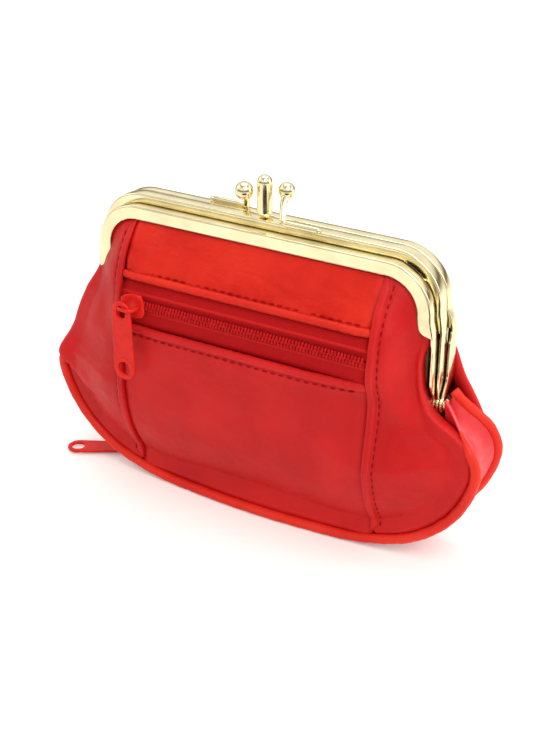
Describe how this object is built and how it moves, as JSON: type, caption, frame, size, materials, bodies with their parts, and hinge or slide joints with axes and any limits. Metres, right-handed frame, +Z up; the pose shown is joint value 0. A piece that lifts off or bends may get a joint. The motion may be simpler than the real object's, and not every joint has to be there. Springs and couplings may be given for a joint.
{
  "type": "frame coin purse",
  "caption": "Leather coin purse with three hinged metal rails, a kiss clasp, two compartments and two zips; it stands on its piped edges.",
  "frame": {"origin": "centre of the purse's outline on the surface that it stands on", "axes": "+X to the right along the rails, -Y to the front with the zip pocket, +Z up"},
  "size_m": [0.1364, 0.0393, 0.1004],
  "materials": {
    "metal": "polished pale gold",
    "red_metal": "glossy red lacquer on metal",
    "leather": "soft semi-gloss red",
    "bright_leather": "soft semi-gloss bright red",
    "zip": "woven red tape and coil",
    "lining": "plain tan cloth",
    "paper": "twisted paper"
  },
  "bodies": {
    "pouch": {"front_side_left": "leather", "front_side_right": "leather", "front_centre_top": "bright_leather", "front_centre_bottom": "leather", "upper_welt": "bright_leather", "lower_welt": "leather", "zip_tape_upper": "zip", "zip_tape_lower": "zip", "zip_coil_upper": "zip", "zip_coil_lower": "zip", "front_lining": "lining", "back_lining": "lining", "back_centre": "leather", "back_side_left": "leather", "back_side_right": "leather", "front_piping": "bright_leather", "back_piping": "bright_leather", "gusset_left": "leather", "gusset_right": "leather", "gusset_bottom_front": "leather", "gusset_bottom_back": "leather", "bottom_zip_tape": "zip", "bottom_zip_coil": "zip", "divider": "lining", "middle_frame": "metal", "clasp_post": "metal", "hinge_rivet_left": "metal", "hinge_rivet_right": "metal"},
    "front_flap": {"front_frame": "metal", "front_clasp": "metal", "front_frame_cord": "paper"},
    "back_flap": {"back_frame": "metal", "back_clasp": "metal", "back_frame_cord": "paper"},
    "front_slider": {"zip_slider": "red_metal"},
    "front_tab": {"zip_pull_tab": "red_metal"},
    "floor_slider": {"bottom_slider": "red_metal"},
    "floor_tab": {"bottom_pull_tab": "red_metal"}
  },
  "joints": [
    {"name": "front_frame_hinge", "type": "hinge", "parent": "pouch", "child": "front_flap", "pos_m": [0, 0, 0.046], "axis": [1, 0, 0], "range_deg": [0, 45], "deforming": ["front_centre_top", "front_side_left", "front_side_right"]},
    {"name": "back_frame_hinge", "type": "hinge", "parent": "pouch", "child": "back_flap", "pos_m": [0, 0, 0.046], "axis": [-1, 0, 0], "range_deg": [0, 45], "deforming": ["back_centre", "back_side_left", "back_side_right"]},
    {"name": "front_zip_slide", "type": "slide", "parent": "pouch", "child": "front_slider", "axis": [1, 0, 0], "range_m": [0, 0.066]},
    {"name": "front_tab_hinge", "type": "hinge", "parent": "front_slider", "child": "front_tab", "pos_m": [-0.03546, -0.0191, 0.0613], "axis": [-1, 0, 0], "range_deg": [0, 90]},
    {"name": "floor_zip_slide", "type": "slide", "parent": "pouch", "child": "floor_slider", "axis": [1, 0, 0], "range_m": [0, 0.066]},
    {"name": "floor_tab_swivel", "type": "hinge", "parent": "floor_slider", "child": "floor_tab", "pos_m": [-0.04746, 0.0017, 0.00205], "axis": [0, 0, 1], "range_deg": [-34, 0]}
  ],
  "couplings": [
    {"joint": "floor_tab_swivel", "follows": "floor_zip_slide", "rad_per_m": -8.727}
  ]
}
